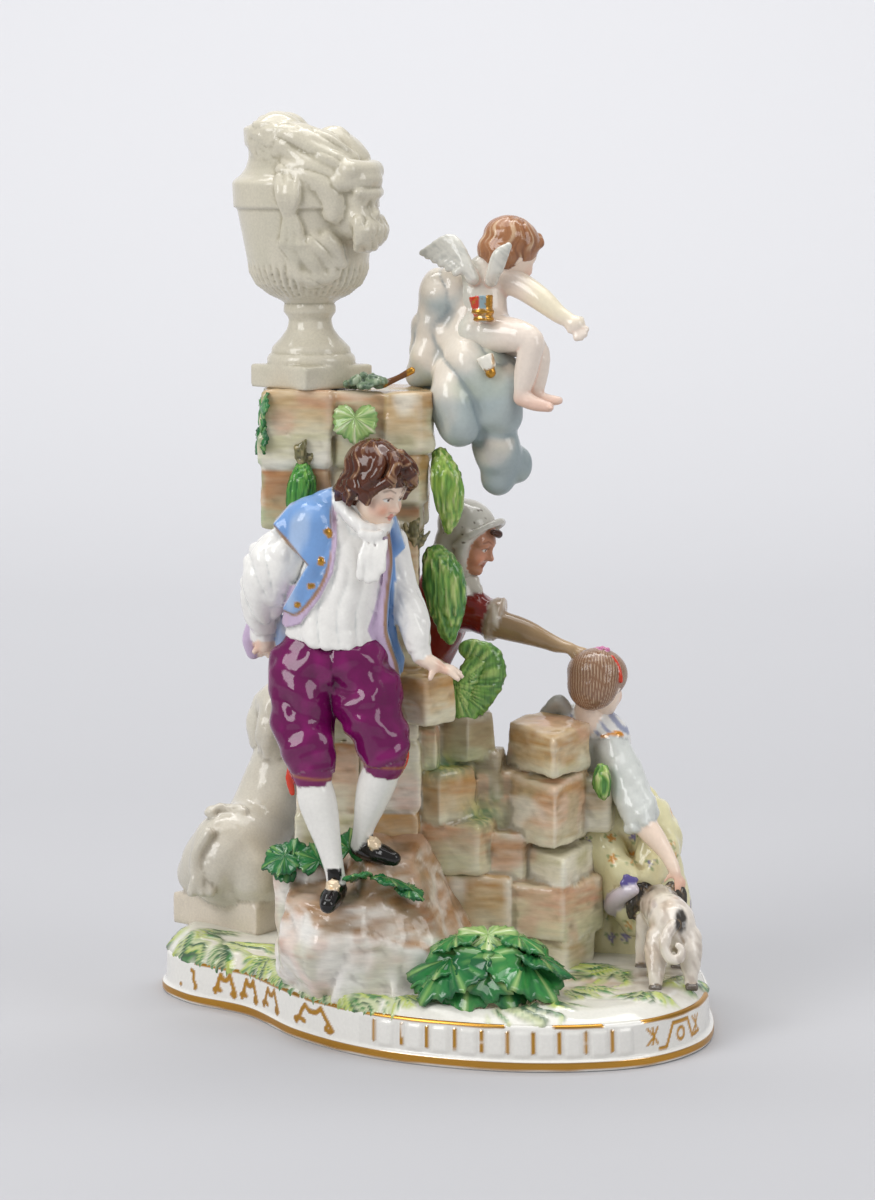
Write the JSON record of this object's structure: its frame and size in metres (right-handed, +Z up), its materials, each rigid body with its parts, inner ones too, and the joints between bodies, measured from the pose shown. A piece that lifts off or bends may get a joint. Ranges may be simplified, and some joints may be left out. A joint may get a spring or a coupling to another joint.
{
  "type": "porcelain figure group",
  "caption": "Glazed porcelain group of figures, dog, sphinx, cloud and broken urn around a ruined wall on a shaped base.",
  "frame": {"origin": "on the underside, at the middle of the base's plan", "axes": "+Z up, +X to the right and -Y towards the viewer of the main side, with the standing youth"},
  "size_m": [0.186, 0.16, 0.3008],
  "materials": {
    "porcelain": "glossy glaze over painted enamels and gilding"
  },
  "bodies": {
    "root": {"figure_group": "porcelain"}
  },
  "joints": []
}
